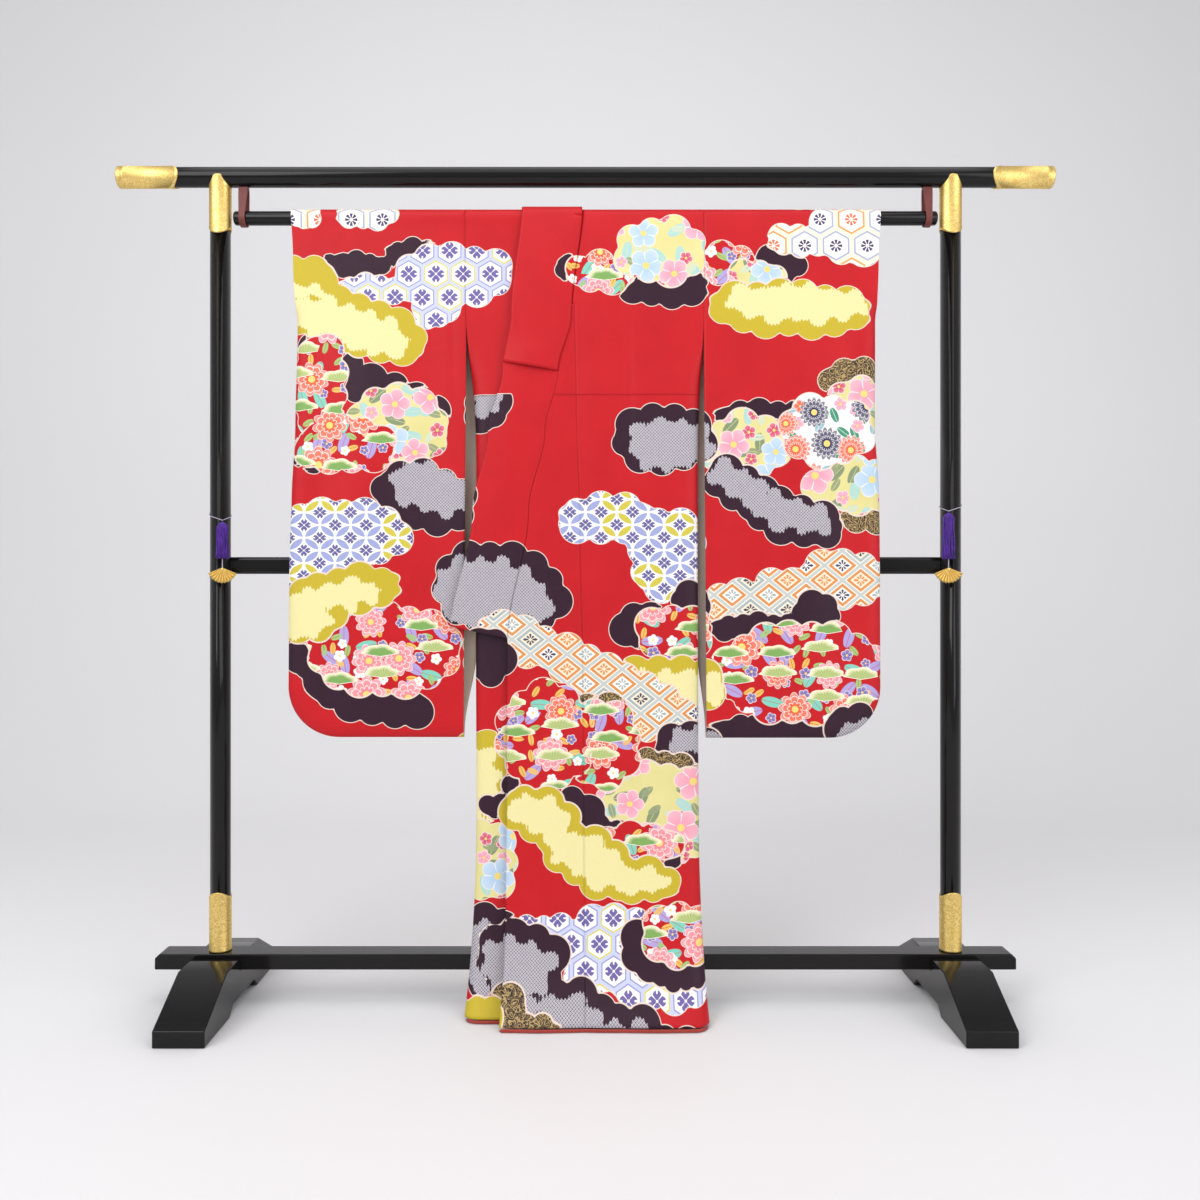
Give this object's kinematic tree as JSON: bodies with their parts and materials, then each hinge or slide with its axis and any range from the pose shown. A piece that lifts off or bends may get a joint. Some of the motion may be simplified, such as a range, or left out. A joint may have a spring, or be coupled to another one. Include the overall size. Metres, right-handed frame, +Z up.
{
  "type": "furisode kimono on a lacquered kimono rack",
  "caption": "Long-sleeved furisode kimono, left front over right, draped over the hanging rod of a black lacquered stand with gilt caps, middle rail, base beam and sloped feet.",
  "frame": {"origin": "on the floor, under the middle of the box around the whole part", "axes": "+X along the rack's bars towards the viewer's right, which is the wearer's left; +Y from the garment's front to its back; +Z up"},
  "size_m": [1.866, 0.46, 1.669],
  "materials": {
    "red_silk": "figured silk, printed with clouds of small patterns",
    "lining": "plain brick red silk",
    "lacquer": "black lacquer, gloss",
    "gilt": "gilt, engraved",
    "leather": "brown red, satin",
    "purple_silk": "twisted silk thread"
  },
  "bodies": {
    "root": {"body_right": "red_silk", "body_left": "red_silk", "overlap_left": "red_silk", "overlap_right": "red_silk", "collar_left": "red_silk", "collar_right": "red_silk", "over_collar": "red_silk", "sleeve_right": "red_silk", "sleeve_left": "red_silk", "hem_roll_outer": "lining", "hem_roll_inner": "lining", "hem_roll_back_right": "lining", "hem_roll_back_left": "lining", "top_bar": "lacquer", "base_beam": "lacquer", "middle_rail": "lacquer", "hanging_rod": "lacquer", "post_right": "lacquer", "post_left": "lacquer", "foot_right": "lacquer", "foot_left": "lacquer", "bar_cap_right": "gilt", "upper_fitting_right": "gilt", "lower_fitting_right": "gilt", "fan_charm_right": "gilt", "rod_strap_right": "leather", "tassel_right": "purple_silk", "tassel_tie_right": "purple_silk", "fan_thread_right": "purple_silk", "bar_cap_left": "gilt", "upper_fitting_left": "gilt", "lower_fitting_left": "gilt", "fan_charm_left": "gilt", "rod_strap_left": "leather", "tassel_left": "purple_silk", "tassel_tie_left": "purple_silk", "fan_thread_left": "purple_silk"}
  },
  "joints": []
}
